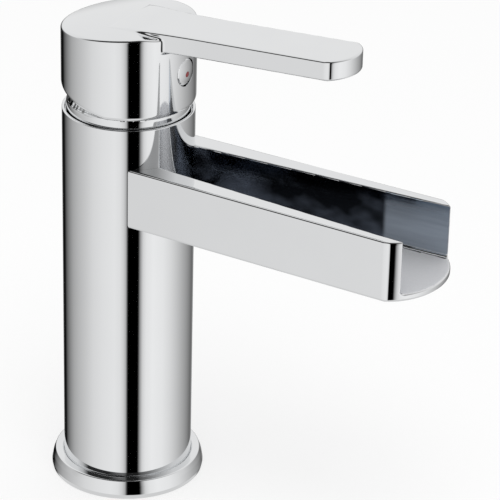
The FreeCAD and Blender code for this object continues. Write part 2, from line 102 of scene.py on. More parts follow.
def in_millimetres(settings):
    """The lengths of a group of settings by name, in millimetres."""
    names = [prop.identifier for prop in settings.bl_rna.properties if getattr(prop, "unit", "") == "LENGTH"]
    return SimpleNamespace(**{name: getattr(settings, name) / MM for name in names})


class TurnedSettings(bpy.types.PropertyGroup):
    """Sizes of the pieces that are turned on a lathe."""
    segments: IntProperty(name="Segments", description="Facets round a turned piece", default=256, min=32)
    wall: length("Tube wall", "Thickness of the body tube", BODY_HIGH.x - 20.4)
    rim_wall: length("Rim wall", "Thickness of the body's thin top rim", 1.0)
    rim_depth: length("Rim depth", "How far the thin rim reaches down", 4.8)
    edge: length("Edge radius", "Rounding that polishing leaves on a turned edge", 0.3)
    plug_dome: length("Plug dome", "Radius of the plug's domed face", 14.0)


class SpoutSettings(bpy.types.PropertyGroup):
    """Sizes of the open channel spout."""
    root_half_width: length("Root half-width", "Outside half-width at the body's axis", 19.3)
    channel_half_width: length("Channel half-width", "Channel half-width at the body's axis", 10.0)
    channel_flare: ratio("Channel flare", "Channel half-width gained per length along the spout", 0.056)
    floor: length("Floor thickness", "Metal under the channel", 2.5)
    flare: ratio("Flare", "Outside half-width gained per length along the spout", 0.0061)
    tip_half_width: length("Tip half-axis across", "Half-axis across the spout of its oval front", 22.0)
    tip_depth: length("Tip half-axis along", "Half-axis along the spout of its oval front", 18.0)
    corner: length("Corner radius", "Radius of the two upright corners at the tip", 0.7)
    edge: length("Edge radius", "Rounding of the spout's long edges", 0.8)
    tip_edge: length("Tip edge radius", "Rounding of the walls' inner edges at the tip", 0.3)
    channel_corner: length("Channel corner", "Rounding along the foot of the channel's walls", 1.2)
    cell: length("Mesh cell", "Size of a face on the spout", 0.5)


class HandleSettings(bpy.types.PropertyGroup):
    """Sizes of the hub and its lever."""
    lever_half_width: length("Lever half-width", "Half the lever's width", 10.55)
    lever_thickness: length("Lever thickness", "Thickness of the lever", 6.85)
    lever_height: length("Lever height", "Height of the lever's top plane at the body's axis", 174.15)
    lever_slope: ratio("Lever slope", "Rise of the lever per length towards its tip", 0.065)
    lever_flare: ratio("Lever flare", "Half-width gained towards the hub, per length squared", 2.3, 10.0)
    flare_start: length("Flare start", "Distance from the axis where the lever starts to widen", 34.0)
    tip_arc: length("Tip arc", "Radius of the lever's tip in plan", 12.8)
    crown_top: length("Crown top", "Height of the hub's crown", 174.65)
    crown_forward: length("Crown forward", "How far in front of the axis the crown is highest", 11.8)
    crown_along: length("Crown radius along", "Radius of the crown along the lever", 140.0)
    crown_across: length("Crown radius across", "Radius of the crown across the lever", 240.0)
    hollow: length("Flank hollow", "Depth of the soft hollow on each side of the lever's root", 0.8)
    rim: length("Rim radius", "Rounding of the hub's upper rim", 0.9)
    lower_edge: length("Lower edge", "Rounding of the hub's lower edge", 0.8)
    rise: ratio("Rise", "How steeply the hub's lower edge climbs at the back", 0.21, 1.0)
    edge: length("Edge radius", "Rounding of the lever's long edges", 0.8)
    neck: length("Neck fillet", "Hollow fillet between the hub's wall and the lever", 0.9)
    crease: length("Crease fillet", "Hollow fillet between the hub's top and the lever", 0.8)
    cell: length("Mesh cell", "Size of a face on the handle", 0.42)


class FinishSettings(bpy.types.PropertyGroup):
    """Colours of the finishes."""
    chrome: colour("Chrome", "Bright chrome plate", "#ECEDEE")
    # The channel colour's blue-grey tint is a painted reflection
    channel: colour("Channel chrome", "Chrome plate on the channel's unpolished walls", "#BAC4D0")
    # Painted shade and painted reflection deep in the channel: its paler patches, and near black between
    # them
    channel_painted_shade: colour("Deep channel", "Paler patches further in", "#7C8594")
    channel_floor: colour("Channel floor", "Satin chrome plate on the channel's floor", "#E2E3E6")
    brass: colour("Brass", "Machined brass", "#D9B36A")
    steel: colour("Steel", "Stainless steel", "#C2C3C6")
    acetal: colour("Acetal", "White moulded acetal", "#EDECE6")
    housing: colour("Housing plastic", "Grey moulded nylon", "#7A7D82")
    alumina: colour("Alumina", "Lapped ceramic", "#F1EDE4")
    rubber: colour("Rubber", "Black nitrile rubber", "#1E1E20")
    enamel: colour("Enamel", "Dark red enamel", "#A3121F")


class StudioSettings(bpy.types.PropertyGroup):
    """The plain studio round the faucet."""
    floor: colour("Floor", "Pale floor", "#FCFCFC")
    daylight: FloatProperty(name="Daylight", description="Level of the even light on matt surfaces",
                            default=0.8, min=0.0)
    key: FloatProperty(name="Key lamp", description="Power of the soft lamp above", default=10.0, min=0.0,
                       unit="POWER")
    tent_radius: length("Tent radius", "Radius of the light tent", 3000.0)


# ---------------------------------------------------------------- materials

def add_node(tree, kind, settings=None, inputs=None):
    """A node with its settings. An input is a value, or a socket to link from."""
    node = tree.nodes.new(kind)
    for name, value in (settings or {}).items():
        setattr(node, name, value)
    for name, value in (inputs or {}).items():
        if isinstance(value, bpy.types.NodeSocket):
            tree.links.new(value, node.inputs[name])
        else:
            node.inputs[name].default_value = value
    return node


def empty_tree(block):
    """The node tree of a material or a world, without its first nodes."""
    block.use_nodes = True
    block.node_tree.nodes.clear()
    return block.node_tree


def new_material(name, base, metallic, roughness):
    """A material with one Principled shader, and the object's own coordinates."""
    material = bpy.data.materials.new(name)
    tree = empty_tree(material)
    shader = add_node(tree, "ShaderNodeBsdfPrincipled", inputs={
        "Base Color": (*base, 1.0), "Metallic": metallic, "Roughness": roughness})
    add_node(tree, "ShaderNodeOutputMaterial", inputs={"Surface": shader.outputs["BSDF"]})
    coords = add_node(tree, "ShaderNodeTexCoord")
    return material, tree, shader, coords.outputs["Object"]


def mottling(tree, coords, spacing_mm, detail=2.0, scale=(1.0, 1.0, 1.0)):
    """A soft pattern with the given spacing. A small scale along an axis draws it out there."""
    place = add_node(tree, "ShaderNodeMapping", inputs={"Vector": coords, "Scale": scale})
    pattern = add_node(tree, "ShaderNodeTexNoise", inputs={
        "Vector": place.outputs["Vector"], "Scale": 1 / (spacing_mm * MM), "Detail": detail})
    return pattern.outputs["Fac"]


def crossfade(tree, place, start, end, first, second):
    """The first colour before the start, the second past the end, and a soft change between."""
    share = add_node(tree, "ShaderNodeMapRange", {"interpolation_type": "SMOOTHSTEP"}, {
        "Value": place, "From Min": start, "From Max": end, "To Min": 0.0, "To Max": 1.0})
    mixed = add_node(tree, "ShaderNodeMix", {"data_type": "RGBA"}, {
        "Factor": share.outputs["Result"], 6: first, 7: second})
    return mixed.outputs[2]


def shade(base, share):
    """A darker shade of a colour, with full cover."""
    return (*(level * share for level in base), 1.0)


MIDDLE = {"From Min": 0.3, "From Max": 0.7}     # where nearly all of a pattern's values lie


def vary(tree, shader, pattern, roughness=None, tone=None, depth_mm=None):
    """Lets a pattern vary the roughness, darken a colour down to a share of it, or press a relief."""
    if roughness:
        spread = add_node(tree, "ShaderNodeMapRange", inputs={
            "Value": pattern, **MIDDLE, "To Min": roughness[0], "To Max": roughness[1]})
        tree.links.new(spread.outputs["Result"], shader.inputs["Roughness"])
    if tone:
        base, darkest = tone
        mixed = add_node(tree, "ShaderNodeMix", {"data_type": "RGBA"}, {
            "Factor": pattern, 6: shade(base, 1), 7: shade(base, darkest)})
        tree.links.new(mixed.outputs[2], shader.inputs["Base Color"])
    if depth_mm:
        relief = add_node(tree, "ShaderNodeBump", inputs={
            "Height": pattern, "Distance": depth_mm * MM, "Strength": 1.0})
        tree.links.new(relief.outputs["Normal"], shader.inputs["Normal"])


def chrome_on_turned_brass(finish):
    """Bright chrome over a turned and buffed tube: near-perfect reflections, and a faint haze in patches."""
    material, tree, shader, coords = new_material("chrome_on_turned_brass", finish.chrome, 1.0, 0.03)
    haze = mottling(tree, coords, spacing_mm=18, detail=3)
    vary(tree, shader, haze, (0.022, 0.05), (finish.chrome, 0.975))
    return material


def chrome_on_cast_brass(finish):
    """Bright chrome over a buffed casting: the same mirror, with the slow waves of hand polishing."""
    material, tree, shader, coords = new_material("chrome_on_cast_brass", finish.chrome, 1.0, 0.03)
    haze = mottling(tree, coords, spacing_mm=15, detail=3)
    vary(tree, shader, haze, (0.025, 0.055), (finish.chrome, 0.97))
    vary(tree, shader, mottling(tree, coords, spacing_mm=14, detail=0), depth_mm=0.03)
    return material


# Along the spout, in metres: the channel's walls show only their painted tint from the tip to here, and
# painted shade further in
UNSHADED_UNTIL = -0.094
PAINTED_SHADE_FROM = -0.092


def chrome_with_painted_shade(finish):
    """Chrome straight over the milled walls: cutter lines along the spout blur what they mirror. Its
    blue-grey tint is a painted reflection, and further in it carries painted shade, near black, with paler
    patches of painted reflection. The lines are drawn coarser than a cutter leaves them, so that they show."""
    material, tree, shader, coords = new_material("milled_chrome_painted_shade", finish.channel, 1.0, 0.12)
    lines = mottling(tree, coords, spacing_mm=1.6, detail=3, scale=(1.0, 0.04, 1.0))
    mottle = mottling(tree, coords, spacing_mm=16, detail=3, scale=(1.0, 0.6, 1.0))
    patches = add_node(tree, "ShaderNodeMapRange", inputs={
        "Value": mottle, **MIDDLE, "To Min": -0.6, "To Max": 1.0})
    # Near the tip: the painted blue-grey tint, darker along the cutter lines
    tinted_lines = add_node(tree, "ShaderNodeMix", {"data_type": "RGBA"}, {
        "Factor": lines, 6: shade(finish.channel, 1), 7: shade(finish.channel, 0.7)})
    # Further in: painted shade, near black, with patches of paler painted reflection
    painted_shade = add_node(tree, "ShaderNodeMix", {"data_type": "RGBA"}, {
        "Factor": patches.outputs["Result"], 6: shade(finish.channel_painted_shade, 0.06),
        7: shade(finish.channel_painted_shade, 1)})
    along = add_node(tree, "ShaderNodeSeparateXYZ", inputs={"Vector": coords}).outputs["Y"]
    tone = crossfade(tree, along, UNSHADED_UNTIL, PAINTED_SHADE_FROM, tinted_lines.outputs[2], painted_shade.outputs[2])
    tree.links.new(tone, shader.inputs["Base Color"])
    vary(tree, shader, lines, roughness=(0.1, 0.2), depth_mm=0.012)
    return material


def chrome_satin(finish):
    """Chrome over a blasted floor, with a film of lime: a pale satin sheen without a mirror image.
    The blasted grain is drawn at 0.5 mm, as the real one of about 0.1 mm would not show."""
    base = finish.channel_floor
    material, tree, shader, coords = new_material("chrome_on_blasted_brass", base, 0.5, 0.7)
    grain = mottling(tree, coords, spacing_mm=0.5)
    vary(tree, shader, grain, (0.65, 0.75), (base, 0.94), depth_mm=0.003)
    return material


def chrome_on_abs(finish):
    """Chrome-plated moulded ABS: a mirror with the slight orange peel of a moulding."""
    material, tree, shader, coords = new_material("chrome_on_moulded_abs", finish.chrome, 1.0, 0.06)
    peel = mottling(tree, coords, spacing_mm=1.2, detail=1)
    vary(tree, shader, peel, roughness=(0.05, 0.09), depth_mm=0.002)
    return material


def machined_metal(name, base, roughness, spacing_mm, scale):
    """Bare machined metal: tool marks, a soft sheen, and a slightly uneven tone. The marks are drawn
    coarser than real ones, so that they show."""
    material, tree, shader, coords = new_material(name, base, 1.0, roughness)
    marks = mottling(tree, coords, spacing_mm, detail=3, scale=scale)
    vary(tree, shader, marks, (roughness * 0.8, roughness * 1.3), (base, 0.85), depth_mm=0.01)
    return material


def moulded_plastic(name, base, roughness, spacing_mm):
    """Moulded plastic or rubber: a matt skin with a spark-eroded grain, drawn coarse enough to show."""
    material, tree, shader, coords = new_material(name, base, 0.0, roughness)
    grain = mottling(tree, coords, spacing_mm)
    vary(tree, shader, grain, roughness=(roughness - 0.06, roughness + 0.06), depth_mm=0.01)
    clouds = mottling(tree, coords, 12 * spacing_mm)
    vary(tree, shader, clouds, tone=(base, 0.92))
    return material


def red_enamel(finish):
    """Dark red enamel in a shallow well: glossy, and a little darker where it pools."""
    material, tree, shader, coords = new_material("poured_red_enamel", finish.enamel, 0.0, 0.15)
    pool = mottling(tree, coords, spacing_mm=0.8, detail=1)
    vary(tree, shader, pool, tone=(finish.enamel, 0.6))
    shader.inputs["Coat Weight"].default_value = 0.5
    return material


def make_materials(finish):
    """Every finish on the faucet, by the name that the pieces use."""
    return {
        "turned_chrome": chrome_on_turned_brass(finish),
        "cast_chrome": chrome_on_cast_brass(finish),
        # The channel's walls: chrome with painted shade and painted reflection
        "channel_chrome_painted_shade": chrome_with_painted_shade(finish),
        "floor_chrome": chrome_satin(finish),
        "plug_chrome": chrome_on_abs(finish),
        "brass": machined_metal("machined_brass", finish.brass, 0.28, 0.6, (1.0, 1.0, 6.0)),
        "steel": machined_metal("turned_stainless_steel", finish.steel, 0.22, 0.5, (1.0, 1.0, 8.0)),
        "acetal": moulded_plastic("moulded_acetal", finish.acetal, 0.42, 0.5),
        "housing": moulded_plastic("moulded_glass_nylon", finish.housing, 0.55, 0.7),
        "alumina": moulded_plastic("lapped_alumina", finish.alumina, 0.18, 0.3),
        "rubber": moulded_plastic("moulded_nitrile_rubber", finish.rubber, 0.65, 0.4),
        "enamel": red_enamel(finish),
    }


FINISHES = {}             # filled when the first piece asks for its finish


def material(name):
    """A finish by name. The first call makes them all."""
    if not FINISHES:
        FINISHES.update(make_materials(bpy.context.scene.faucet_finish))
    return FINISHES[name]


# ---------------------------------------------------------------- turned pieces

def rounded_section(corners, steps=6):
    """The points of a closed (radius, height) outline whose corners are (radius, height, rounding).
    A support point on each side of an arc keeps the long faces beside it flat."""
    points = []
    for k, (r, z, rounding) in enumerate(corners):
        here = Vector((r, z))
        to_last = (Vector(corners[k - 1][:2]) - here).normalized()
        to_next = (Vector(corners[(k + 1) % len(corners)][:2]) - here).normalized()
        half_angle = to_last.angle(to_next) / 2
        reach = rounding / math.tan(half_angle)
        centre = here + (to_last + to_next).normalized() * rounding / math.sin(half_angle)
        start, end = here + to_last * reach, here + to_next * reach
        points.append(here + to_last * (reach + rounding / 2))
        sweep = (start - centre).angle_signed(end - centre)
        for step in range(steps + 1):
            turn = Matrix.Rotation(-sweep * step / steps, 2)
            points.append(centre + turn @ (start - centre))
        points.append(here + to_next * (reach + rounding / 2))
    return points


def turning_tree():
    """Geometry nodes that sweep a section round an upright axis."""
    tree = bpy.data.node_groups.get("turned_piece")
    if tree:
        return tree
    tree = bpy.data.node_groups.new("turned_piece", "GeometryNodeTree")
    for name, kind in (("Section", "NodeSocketGeometry"), ("Turning Radius", "NodeSocketFloat"),
                       ("Segments", "NodeSocketInt"), ("Finish", "NodeSocketMaterial")):
        tree.interface.new_socket(name=name, in_out="INPUT", socket_type=kind)
    tree.interface.new_socket(name="Piece", in_out="OUTPUT", socket_type="NodeSocketGeometry")
    given = tree.nodes.new("NodeGroupInput").outputs
    section = add_node(tree, "GeometryNodeMeshToCurve", inputs={"Mesh": given["Section"]})
    circle = add_node(tree, "GeometryNodeCurvePrimitiveCircle", inputs={
        "Resolution": given["Segments"], "Radius": given["Turning Radius"]})
    swept = add_node(tree, "GeometryNodeCurveToMesh", inputs={
        "Curve": circle.outputs["Curve"], "Profile Curve": section.outputs["Curve"]})
    smooth = add_node(tree, "GeometryNodeSetShadeSmooth", inputs={"Geometry": swept.outputs["Mesh"]})
    real = add_node(tree, "GeometryNodeRealizeInstances", inputs={"Geometry": smooth.outputs["Geometry"]})
    finished = add_node(tree, "GeometryNodeSetMaterial", inputs={
        "Geometry": real.outputs["Geometry"], "Material": given["Finish"]})
    add_node(tree, "NodeGroupOutput", inputs={"Piece": finished.outputs["Geometry"]})
    return tree


def set_input(modifier, name, value):
    """Sets a geometry nodes input by its socket's identifier."""
    for item in modifier.node_group.interface.items_tree:
        if item.item_type == "SOCKET" and item.in_out == "INPUT" and item.name == name:
            modifier[item.identifier] = value
            return
    raise KeyError(name)


def make_plain(piece):
    """Applies the piece's modifiers, so that it is a plain mesh."""
    bpy.context.view_layer.update()
    graph = bpy.context.evaluated_depsgraph_get()
    mesh = bpy.data.meshes.new_from_object(piece.evaluated_get(graph))
    piece.modifiers.clear()
    piece.data = mesh
    mesh.name = piece.name


def new_object(name, mesh):
    """An object at the origin, in the scene."""
    piece = bpy.data.objects.new(name, mesh)
    bpy.context.scene.collection.objects.link(piece)
    return piece


def faces_outward(mesh):
    """Merges doubles and turns every face of a closed mesh outwards."""
    work = bmesh.new()
    work.from_mesh(mesh)
    bmesh.ops.remove_doubles(work, verts=work.verts, dist=1e-7)
    bmesh.ops.recalc_face_normals(work, faces=work.faces)
    work.to_mesh(mesh)
    work.free()


def turned(name, corners, finish, place=None):
    """A piece turned from an outline of (radius, height, rounding) corners, in millimetres.
    A profile curve's own Y points down the axis that it is swept round."""
    section = rounded_section(corners)
    widest = max(point.x for point in section)
    mesh = bpy.data.meshes.new(name)
    vertices = [((point.x - widest) * MM, -point.y * MM, 0) for point in section]
    count = len(vertices)
    mesh.from_pydata(vertices, [(k, (k + 1) % count) for k in range(count)], [])
    piece = new_object(name, mesh)
    modifier = piece.modifiers.new("turning", "NODES")
    modifier.node_group = turning_tree()
    set_input(modifier, "Turning Radius", widest * MM)
    set_input(modifier, "Segments", bpy.context.scene.faucet_turned.segments)
    set_input(modifier, "Finish", material(finish))
    make_plain(piece)
    if place is not None:
        piece.data.transform(place)
    faces_outward(piece.data)
    return piece


SHARP_FROM = math.radians(35)   # edges that bend more than this stay sharp after a cut


def cut_away(piece, cutter):
    """Cuts the cutter out of the piece, and drops the cutter."""
    modifier = piece.modifiers.new("cut", "BOOLEAN")
    modifier.operation = "DIFFERENCE"
    modifier.solver = "EXACT"
    modifier.object = cutter
    make_plain(piece)
    bpy.data.objects.remove(cutter)
    piece.data.set_sharp_from_angle(angle=SHARP_FROM)


def plain_box(name, low, high):
    """A box between two corners in millimetres, for cutting."""
    mesh = bpy.data.meshes.new(name)
    work = bmesh.new()
    size = Vector(high) - Vector(low)
    middle = (Vector(high) + Vector(low)) / 2
    matrix = Matrix.Translation(middle * MM) @ Matrix.Diagonal((*size * MM, 1.0))
    bmesh.ops.create_cube(work, size=1.0, matrix=matrix)
    work.to_mesh(mesh)
    work.free()
    return new_object(name, mesh)


def finish_piece(piece, body, node):
    """Fixes a piece to its body, in the place of its CAD node."""
    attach(piece, body)
    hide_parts(node)


# ---------------------------------------------------------------- cast pieces

def rounded_both(a, b, radius):
    """The distance inside both shapes, with the edge between them rounded."""
    corner = np.hypot(np.maximum(a + radius, 0), np.maximum(b + radius, 0))
    return np.minimum(-radius, np.maximum(a, b)) + corner


def rounded_either(a, b, radius):
    """The distance inside either shape, with a hollow fillet between them."""
    hollow = np.hypot(np.maximum(radius - a, 0), np.maximum(radius - b, 0))
    return np.maximum(radius, np.minimum(a, b)) - hollow


def rounded_cut(a, b, radius):
    """The distance inside the first shape and outside the second, with a rounded edge."""
    return rounded_both(a, -b, radius)


def ease(value, start, end):
    """A smooth step from 0 at the start to 1 at the end."""
    share = np.clip((value - start) / (end - start), 0, 1)
    return share * share * (3 - 2 * share)


def slope_of(field, points, step=1e-3):
    """The field's gradient at each point."""
    columns = []
    for axis in range(3):
        shift = np.zeros(3)
        shift[axis] = step
        ahead, behind = points + shift, points - shift
        columns.append((field(*ahead.T) - field(*behind.T)) / (2 * step))
    return np.stack(columns, axis=1)


def crosses(inside):
    """Which grid cells have corners on both sides."""
    count = inside.astype(np.int8)
    for axis in range(3):
        low = np.take(count, range(count.shape[axis] - 1), axis)
        high = np.take(count, range(1, count.shape[axis]), axis)
        count = low + high
    return (count > 0) & (count < 8)


STEPS = 6                 # that a vertex takes towards its surface or edge
LEAST_SLOPE = 0.05        # squared, so that no step runs away where a field is nearly level
INTO_FACE = 0.4           # share of the way from a corner to its face's middle
MARGIN = 1.2              # empty grid round a cast piece, in millimetres


def limited(move, reach):
    """The moves, none of them longer than the reach."""
    size = np.linalg.norm(move, axis=1, keepdims=True)
    return move * np.minimum(1, reach / np.maximum(size, 1e-9))


def onto_surface(field, points, reach):
    """The points, moved onto the surface where a field is zero."""
    for _ in range(STEPS):
        slope = slope_of(field, points)
        steep = np.maximum((slope ** 2).sum(axis=1), LEAST_SLOPE)
        points = points - limited((field(*points.T) / steep)[:, None] * slope, reach)
    return points


def onto_edge(first, second, points, reach):
    """The points, moved onto the edge where two surfaces meet."""
    for _ in range(STEPS):
        a, b = first(*points.T), second(*points.T)
        slope_a, slope_b = slope_of(first, points), slope_of(second, points)
        aa, ab, bb = ((u * v).sum(axis=1) for u, v in (
            (slope_a, slope_a), (slope_a, slope_b), (slope_b, slope_b)))
        area = np.maximum(aa * bb - ab ** 2, LEAST_SLOPE)
        share_a, share_b = (a * bb - b * ab) / area, (b * aa - a * ab) / area
        points = points - limited(share_a[:, None] * slope_a + share_b[:, None] * slope_b, reach)
    return points


def quads_between(inside, number):
    """A face for each grid edge that the surface crosses, through the four cells round it."""
    faces = []
    for axis in range(3):
        u, v = (axis + 1) % 3, (axis + 2) % 3
        first, second = [slice(1, -1)] * 3, [slice(1, -1)] * 3
        first[axis], second[axis] = slice(0, -1), slice(1, None)
        starts, ends = inside[tuple(first)], inside[tuple(second)]
        at = np.argwhere(starts != ends)
        outward = starts[tuple(at.T)]
        at[:, [u, v]] += 1
        corners = []
        for du, dv in ((0, 0), (1, 0), (1, 1), (0, 1)):
            near = at.copy()
            near[:, u] -= du
            near[:, v] -= dv
            corners.append(number[tuple(near.T)])
        quads = np.stack(corners, axis=1)
        quads[~outward] = quads[~outward][:, ::-1]
        faces.append(quads)
    return np.concatenate(faces)


def cast(name, outside, holes, lowest, highest, cell):
    """A mesh piece from an outside less its holes, both given as fields in millimetres.
    Each grid cell that the surface crosses holds one vertex. It is moved onto the surface, or onto
    the sharp edge where a hole breaks through."""
    def field(x, y, z):
        return np.maximum(outside(x, y, z), -holes(x, y, z))

    margin = Vector((MARGIN, MARGIN, MARGIN))
    low, high = lowest - margin, highest + margin
    grid = np.meshgrid(*(np.arange(a, b + cell, cell) for a, b in zip(low, high)), indexing="ij")
    outer, inner = outside(*grid), holes(*grid)
    inside = np.maximum(outer, -inner) < 0
    crossed = crosses(inside)
    number = np.full(crossed.shape, -1)
    number[crossed] = np.arange(crossed.sum())
    points = np.array(low) + (np.argwhere(crossed) + 0.5) * cell
    points = onto_surface(field, points, cell / 2)
    on_edge = (crosses(outer < 0) & crosses(inner < 0))[crossed]
    points[on_edge] = onto_edge(outside, holes, points[on_edge], cell / 2)
    faces = quads_between(inside, number)

    # Corners on a sharp edge take the slope just inside their own face.
    normals = slope_of(field, points)[faces]
    sharp = on_edge[faces]
    towards = points[faces].mean(axis=1, keepdims=True) - points[faces]
    normals[sharp] = slope_of(field, (points[faces] + INTO_FACE * towards)[sharp])
    normals = normals.reshape(-1, 3)
    normals /= np.maximum(np.linalg.norm(normals, axis=1, keepdims=True), 1e-9)
    mesh = bpy.data.meshes.new(name)
    mesh.from_pydata((points * MM).tolist(), [], faces.tolist())
    mesh.shade_smooth()
    mesh.normals_split_custom_set(normals.tolist())
    return new_object(name, mesh)


def oval(x, y, half_x, half_y):
    """Close to the distance from an oval with the given half-axes."""
    near = np.hypot(x / half_x, y / half_y)
    steep = np.hypot(x / half_x ** 2, y / half_y ** 2)
    return near * (near - 1) / np.maximum(steep, 1e-9)


# In millimetres, as all that follows on the cast pieces
JOINT_GAP = 0.03          # between brazed or pressed pieces

# Where the spout's inner edges sharpen, from the tip and from the channel's floor
SHARPENS_ALONG = (18, 10)
SHARPENS_UPWARDS = (0.5, 3)


def spout_outside(settings):
    """The trough: a flared bar with an oval front, less its channel."""
    size = in_millimetres(settings)
    top, bottom, tip = SPOUT_HIGH.z, SPOUT_LOW.z, SPOUT_LOW.y
    floor = bottom + size.floor
    front = tip + size.tip_depth
    along = [tip + distance for distance in SHARPENS_ALONG]
    upwards = [floor + distance for distance in SHARPENS_UPWARDS]

    def field(x, y, z):
        side = np.abs(x)
        sides = side - (size.root_half_width - settings.flare * y)
        beyond = oval(x, np.minimum(y - front, 0), size.tip_half_width, size.tip_depth)
        plan = rounded_both(sides, beyond, size.corner)
        bar = rounded_both(plan, np.maximum(z - top, bottom - z), size.edge)
        inner = side - (size.channel_half_width - settings.channel_flare * y)
        channel = rounded_both(inner, floor - z, size.channel_corner)
        at_tip = ease(y, *along) * ease(z, *upwards)
        return rounded_cut(bar, channel, size.edge + (size.tip_edge - size.edge) * at_tip)
    return field


def body_hole(x, y, z):
    """The round face that seats the spout on the body tube."""
    return np.hypot(x, y) - (BODY_HIGH.x + JOINT_GAP)


HUB_RISE_START = -5.0     # behind this line the hub's lower edge climbs
LOWER_STRETCH = 0.5       # the hub's lower edge rounds off twice as high as it is deep
WIDEST_FLARE = 3.0        # the most that the lever widens on each side
SINK_START = -8.0         # behind this line the lever's top sinks into the hub's crown
SINK_RADIUS = 60.0
HOLLOW_FORWARD = (7, 17)  # in front of the axis, where the flank hollows deepen
HOLLOW_INWARD = (17, 11.5)
CROWN_REACH = 30.0        # beyond this distance from the axis the crown stays level
CREASE_DEPTHS = (-0.5, -3)  # below the hub's top, where the small fillet grows to the full one


def handle_outside(settings):
    """Hub and lever, without what is hollow in them."""
    size = in_millimetres(settings)
    hub_radius, hub_bottom, tip = HANDLE_HIGH.x, HANDLE_LOW.z, HANDLE_LOW.y
    rise_length = math.hypot(1, settings.rise)

    def crown(x, y):
        """The height of the hub's top, with a soft hollow beside the lever's root."""
        fall_along = (y + size.crown_forward) ** 2 / (2 * size.crown_along)
        dome = size.crown_top - fall_along - x ** 2 / (2 * size.crown_across)
        return dome - size.hollow * ease(-y, *HOLLOW_FORWARD) * ease(np.abs(x), *HOLLOW_INWARD)

    def lever_plan(x, y):
        """The lever seen from above: its flared sides and its round tip."""
        side = np.abs(x)
        flare = settings.lever_flare * MM * np.maximum(y + size.flare_start, 0) ** 2
        sides = side - size.lever_half_width - np.minimum(flare, WIDEST_FLARE)
        arc_centre = tip + size.tip_arc
        front = np.where(y < arc_centre, np.hypot(x, y - arc_centre) - size.tip_arc, side - size.tip_arc)
        return rounded_both(sides, np.maximum(front, y), size.edge)

    def field(x, y, z):
        sinking = np.maximum(y - SINK_START, 0) ** 2 / (2 * SINK_RADIUS)
        lever_top = size.lever_height - settings.lever_slope * y - sinking
        blade = rounded_both(lever_plan(x, y), z - lever_top, size.edge)
        blade = rounded_both(blade, lever_top - size.lever_thickness - z, size.edge)
        wall = np.hypot(x, y) - hub_radius
        climb = (hub_bottom + settings.rise * (y - HUB_RISE_START) - z) / rise_length
        lower = np.maximum(hub_bottom - z, climb)
        drop = z - crown(x, np.clip(y, -CROWN_REACH, CROWN_REACH))
        hub = rounded_both(rounded_both(wall, drop, size.rim), lower * LOWER_STRETCH, size.lower_edge)
        # Below its top the hub meets the lever in a full fillet, and on top in a small one.
        fillet = size.crease + (size.neck - size.crease) * ease(drop, *CREASE_DEPTHS)
        return rounded_either(hub, blade, fillet)
    return field


# What is hollow in the hub: radii about its axis or about the screw hole, heights, and distances
# in front of the axis
CAVITY_RADIUS, CAVITY_ROOF, CAVITY_EDGE = 21.2, 165.0, 0.3
BOSS_RADIUS, BOSS_FOOT = 8.0, 153.0
NOSE_RADIUS, NOSE_END = 6.6, 22.2
SOCKET_HALF_SIDE, SOCKET_ROOF = 4.1, 166.3
SCREW_HOLE_RADIUS = 2.5
ACCESS_RADIUS, ACCESS_START = 3.0, 14.2
POCKET_RADIUS, POCKET_FLOOR = 5.0, 20.6
SCREW_HEIGHT = (PLUG_LOW.z + PLUG_HIGH.z) / 2


def handle_holes(x, y, z):
    """The hub's cavity round its boss, the spindle's socket, the screw hole and the plug's pocket."""
    bore = np.hypot(x, z - SCREW_HEIGHT)
    around = np.hypot(x, y)
    boss = np.maximum(around - BOSS_RADIUS, BOSS_FOOT - z)
    nose = np.maximum(bore - NOSE_RADIUS, np.maximum(y, -NOSE_END - y))
    open_space = np.maximum(around - CAVITY_RADIUS, z - CAVITY_ROOF)
    holes = rounded_cut(open_space, np.minimum(boss, nose), CAVITY_EDGE)
    socket = np.maximum(np.maximum(np.abs(x), np.abs(y)) - SOCKET_HALF_SIDE, z - SOCKET_ROOF)
    screw_hole = np.maximum(bore - SCREW_HOLE_RADIUS, y)
    access = np.maximum(bore - ACCESS_RADIUS, y + ACCESS_START)
    pocket = np.maximum(bore - POCKET_RADIUS, y + POCKET_FLOOR)
    for hole in (socket, screw_hole, access, pocket):
        holes = np.minimum(holes, hole)
    return holes


# ---------------------------------------------------------------- operators

# Turned pieces, in millimetres
INSIDE_EDGE = 0.15        # rounding of edges that nobody polishes
SLOT_HEADROOM = 0.5       # over the outlet nozzle
SLOT_OVERSHOOT = 2.0      # how far the slot's cutter reaches out of the wall
GROOVE_INNER, GROOVE_OUTER, GROOVE_DEPTH = 24.27, 26.03, 1.23   # the gasket's groove
DOME_WALL = 1.2
DOME_NECK = 14.6          # radius of the hole for the cartridge's neck

# Parting the spout's faces by finish
BUFFED_EDGE = 0.5         # the strip along the walls' tops that is buffed with the outside
FACE_SLACK = 0.1          # how far a face's middle may lie off its wall


class FAUCET_OT_body(bpy.types.Operator):
    """Adds the body tube, with its thin rim and the slot for the outlet nozzle"""
    bl_idname = "faucet.body"
    bl_label = "Body Tube"
    bl_options = {"REGISTER", "UNDO"}

    def execute(self, context):
        size = in_millimetres(context.scene.faucet_turned)
        radius, top = BODY_HIGH.x, BODY_HIGH.z
        bore = radius - size.wall
        rim = radius - size.rim_wall
        shelf = top - size.rim_depth
        tube = turned("body_tube", [
            (bore, 0, INSIDE_EDGE), (radius, 0, size.edge), (radius, top, size.edge),
            (rim, top, size.edge), (rim, shelf, INSIDE_EDGE), (bore, shelf, INSIDE_EDGE),
        ], "turned_chrome")
        slot_low = (NOZZLE_LOW.x - JOINT_GAP, -radius - SLOT_OVERSHOOT, NOZZLE_LOW.z - JOINT_GAP)
        slot_high = (NOZZLE_HIGH.x + JOINT_GAP, 0, NOZZLE_HIGH.z + SLOT_HEADROOM + JOINT_GAP)
        cut_away(tube, plain_box("slot_cutter", slot_low, slot_high))
        finish_piece(tube, "faucet_body", "body_shell")
        return {"FINISHED"}


